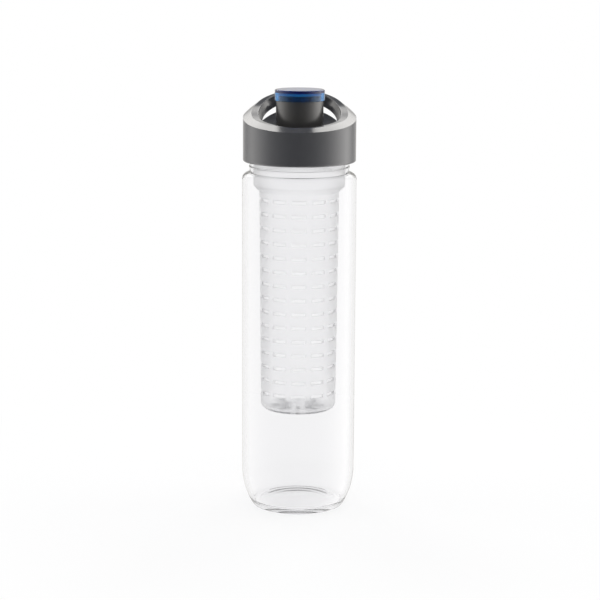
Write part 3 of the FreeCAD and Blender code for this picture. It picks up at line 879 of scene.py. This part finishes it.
# %% Draw the world
PALE, WARM = (1, 1, 1, 1), (1, 0.98, 0.95, 1)
AMBIENT_LEVEL, DARK_LEVEL, BACKDROP_LEVEL, STRIP_LEVEL, PATCH_LEVEL = 0.3, 0.06, 0.7, 4.8, 1.3
BACKDROP_FRONT, BACKDROP_TOP = (-0.6, 0.5), (0.62, 0.82)
STRIP_INNER, STRIP_OUTER, STRIP_FOOT, STRIP_TOP = (0.2, 0.27), (0.5, 0.8), (0.05, 0.95), (0.88, 0.94)
PATCH_SIDE, PATCH_FOOT, PATCH_TOP = (0.15, 0.3), (0.3, 0.55), (0.64, 0.72)
PANEL_FRONT, PANEL_BACK, PANEL_TOP = (-1.2, 0.2), (0.3, 0.8), (0.3, 0.7)
LEFT_TO_RIGHT = {"From Min": -0.2, "From Max": 0.2, "To Min": 1.05, "To Max": 1.85}
NEAR_SIDE, NEAR_SIDE_DIM, LEAST_NORTH = (-0.7, -0.2), 0.2, 0.02


def rises(plan, value, limits):
    """Smooth step from zero to one between two limits."""
    return ramp(plan, value, {"From Min": limits[0], "From Max": limits[1]})


def falls(plan, value, limits):
    """Smooth step from one to zero between two limits."""
    return ramp(plan, value, {"From Min": limits[0], "From Max": limits[1], "To Min": 1.0, "To Max": 0.0})


def mirrored_level(plan, east, north, up):
    """Brightness of the studio that mirrors see."""
    backdrop = rises(plan, north, BACKDROP_FRONT) * falls(plan, up, BACKDROP_TOP)
    aside = abs(east) / plan.math("MAXIMUM", north, LEAST_NORTH)
    strips = rises(plan, aside, STRIP_INNER) * falls(plan, aside, STRIP_OUTER)
    strips = strips * rises(plan, up, STRIP_FOOT) * falls(plan, up, STRIP_TOP)
    patch = falls(plan, aside, PATCH_SIDE) * rises(plan, up, PATCH_FOOT) * falls(plan, up, PATCH_TOP)
    panels = rises(plan, north, PANEL_FRONT) * falls(plan, north, PANEL_BACK) * falls(plan, up, PANEL_TOP)
    panels = panels * ramp(plan, east, LEFT_TO_RIGHT)
    return DARK_LEVEL + BACKDROP_LEVEL * backdrop + STRIP_LEVEL * strips + PATCH_LEVEL * patch + panels


def studio_world():
    """White for the camera, a drawn studio for mirrors, and even light for matte surfaces."""
    world = bpy.data.worlds.new("studio")
    world.use_nodes = True
    world.node_tree.nodes.clear()
    plan = Plan(world.node_tree)
    path = plan.add("ShaderNodeLightPath")
    direction = plan.add("ShaderNodeTexCoord").out("Generated")
    direction = plan.add("ShaderNodeSeparateXYZ", sockets={0: direction})
    east, north, up = direction.out("X"), direction.out("Y"), direction.out("Z")
    dimmed = NEAR_SIDE_DIM * falls(plan, north, NEAR_SIDE) * path.out("Is Transmission Ray")
    level = mirrored_level(plan, east, north, up)
    white = plan.add("ShaderNodeBackground", sockets={"Color": PALE, "Strength": 1 - dimmed})
    mirrored = plan.add("ShaderNodeBackground", sockets={"Color": WARM, "Strength": level})
    ambient = plan.add("ShaderNodeBackground", sockets={"Color": PALE, "Strength": AMBIENT_LEVEL})
    light = plan.add("ShaderNodeMixShader", sockets={0: path.out("Is Glossy Ray"), 1: ambient, 2: mirrored})
    light = plan.add("ShaderNodeMixShader", sockets={0: looked_at(path), 1: light, 2: white})
    plan.add("ShaderNodeOutputWorld", sockets={"Surface": light})
    return world


scene.world = studio_world()
print("world:", len(scene.world.node_tree.nodes), "nodes")

# %% [markdown]
# ## Lamps
# The lamps light the matte surfaces. They are hidden from mirrors and from clear plastic, where they would
# show as hard white patches. Light passes many walls in a clear bottle, so the limits on bounces go up, or
# its foot would turn black.

# %% Set the lamps
CLEAR_BOUNCES, MIRROR_BOUNCES = 32, 16
MIDDLE, LID = (0, 0, 0.16), (0, 0, 0.24)
PANEL = {"aim": MIDDLE, "width": 0.8, "height": 1.5}
STRIP = {"aim": LID, "width": 0.35, "height": 0.6, "watts": 4.0}


def softbox(name, place, aim, width, height, watts):
    """Rectangular soft lamp that lights matte surfaces and shows in no mirror and through no clear wall."""
    data = bpy.data.lights.new(name, "AREA")
    data.shape = "RECTANGLE"
    data.size, data.size_y = width, height
    data.energy = watts
    lamp = bpy.data.objects.new(name, data)
    ahead = Vector(aim) - Vector(place)
    lamp.matrix_world = Matrix.Translation(place) @ ahead.to_track_quat("-Z", "Y").to_matrix().to_4x4()
    lamp.visible_camera = False
    lamp.visible_glossy = False
    lamp.visible_transmission = False
    scene.collection.objects.link(lamp)


softbox("left_panel", place=(-1.1, 0.0, 0.65), watts=5.0, **PANEL)
softbox("right_panel", place=(1.1, 0.2, 0.65), watts=8.0, **PANEL)
softbox("back_left_strip", place=(-0.38, 0.62, 0.92), **STRIP)
softbox("back_right_strip", place=(0.38, 0.62, 0.92), **STRIP)
softbox("overhead", place=(0, -0.35, 1.3), aim=LID, width=0.5, height=0.3, watts=2.5)
scene.view_settings.view_transform = "Standard"
scene.cycles.max_bounces = CLEAR_BOUNCES
scene.cycles.transmission_bounces = CLEAR_BOUNCES
scene.cycles.glossy_bounces = MIRROR_BOUNCES
